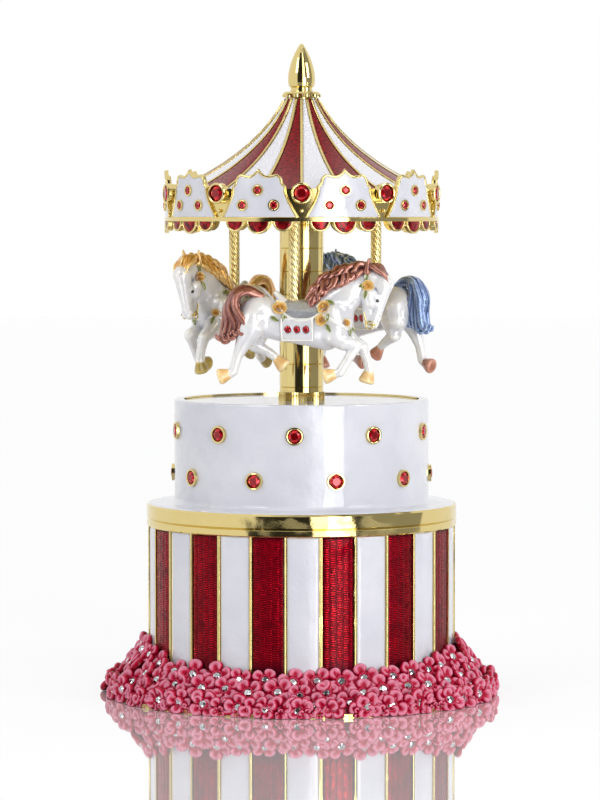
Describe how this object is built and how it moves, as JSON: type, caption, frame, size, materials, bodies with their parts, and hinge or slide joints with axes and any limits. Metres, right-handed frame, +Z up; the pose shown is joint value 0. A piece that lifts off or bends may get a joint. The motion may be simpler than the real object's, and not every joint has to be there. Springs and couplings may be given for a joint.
{
  "type": "wind up music box",
  "caption": "Wind-up carousel music box: turntable with horses under a crowned canopy, on a two-tier enamelled base that hides a pinned-cylinder movement.",
  "frame": {"origin": "centre of the foot, on the surface that the box stands on", "axes": "+Z up along the carousel shaft, the front horse and the front of the box towards -Y, +X to the right"},
  "size_m": [0.1064, 0.1064, 0.1801],
  "materials": {
    "gold_metal": "polished gold plating over cast metal",
    "red_enamel": "translucent red enamel, gloss",
    "white_enamel": "pearl white enamel, gloss",
    "flower_enamel": "pink enamel over cast relief",
    "clear_crystal": "faceted, foiled back",
    "red_crystal": "faceted, foiled back",
    "pearl_casting": "pearl white enamel",
    "movement_brass": "satin",
    "steel": "satin",
    "spring_steel": "blued",
    "plate": "satin gold",
    "washer": "satin"
  },
  "bodies": {
    "base": {"drum_shell": "gold_metal", "drum_ledge": "gold_metal", "drum_foot": "gold_metal", "drum_red_enamel": "red_enamel", "drum_white_enamel": "white_enamel", "flower_skirt": "flower_enamel", "skirt_crystals": "clear_crystal", "base_plate": "plate", "base_plate_screws": "steel", "movement_bedplate": "movement_brass", "movement_screws": "steel", "inner_bearing": "movement_brass", "outer_bearing": "movement_brass", "governor_frame": "movement_brass", "music_comb": "steel", "tier_flange": "gold_metal", "tier_shell": "gold_metal", "tier_deck": "gold_metal", "tier_enamel": "white_enamel", "tier_crystals": "red_crystal", "tier_screws": "steel", "shaft_bush": "movement_brass", "thrust_washer": "washer"},
    "carousel": {"spring_barrel": "movement_brass", "barrel_cover": "steel", "mainspring": "spring_steel", "drive_shaft": "steel", "turntable": "gold_metal", "turntable_enamel": "white_enamel", "centre_column": "gold_metal", "column_collar": "gold_metal", "canopy_ceiling": "gold_metal", "ceiling_nut": "gold_metal", "canopy_fascia": "gold_metal", "fascia_enamel": "white_enamel", "scallop_enamel": "red_enamel", "fascia_large_crystals": "red_crystal", "fascia_small_crystals": "red_crystal", "canopy_roof": "gold_metal", "roof_red_enamel": "red_enamel", "roof_white_enamel": "white_enamel", "finial": "gold_metal", "front_pole": "gold_metal", "right_pole": "gold_metal", "left_pole": "gold_metal", "front_horse": "pearl_casting", "right_horse": "pearl_casting", "left_horse": "pearl_casting", "saddle_crystals": "red_crystal"},
    "key": {"winding_key": "gold_metal", "winding_arbor": "steel"},
    "cylinder": {"music_cylinder": "movement_brass", "cylinder_pins": "steel", "cylinder_arbor": "steel", "cylinder_pinion": "movement_brass", "cylinder_wheel": "movement_brass"},
    "governor": {"governor_arbor": "steel", "worm_wheel": "movement_brass"},
    "fan": {"governor_worm": "steel", "governor_fan": "steel"}
  },
  "joints": [
    {"name": "carousel_turn", "type": "hinge", "parent": "base", "child": "carousel", "pos_m": [0, 0, 0.08], "axis": [0, 0, 1], "continuous": true},
    {"name": "key_turn", "type": "hinge", "parent": "base", "child": "key", "pos_m": [0, 0, 0.008], "axis": [0, 0, 1], "continuous": true},
    {"name": "cylinder_turn", "type": "hinge", "parent": "base", "child": "cylinder", "pos_m": [0.021, 0, 0.02857], "axis": [1, 0, 0], "continuous": true},
    {"name": "governor_turn", "type": "hinge", "parent": "base", "child": "governor", "pos_m": [0.031, 0.0072, 0.02647], "axis": [1, 0, 0], "continuous": true},
    {"name": "fan_turn", "type": "hinge", "parent": "base", "child": "fan", "pos_m": [0.0317, 0.01205, 0.03], "axis": [0, 0, 1], "continuous": true}
  ],
  "couplings": [
    {"joint": "cylinder_turn", "follows": "carousel_turn", "ratio": 3},
    {"joint": "governor_turn", "follows": "carousel_turn", "ratio": -12},
    {"joint": "fan_turn", "follows": "carousel_turn", "ratio": 288}
  ]
}
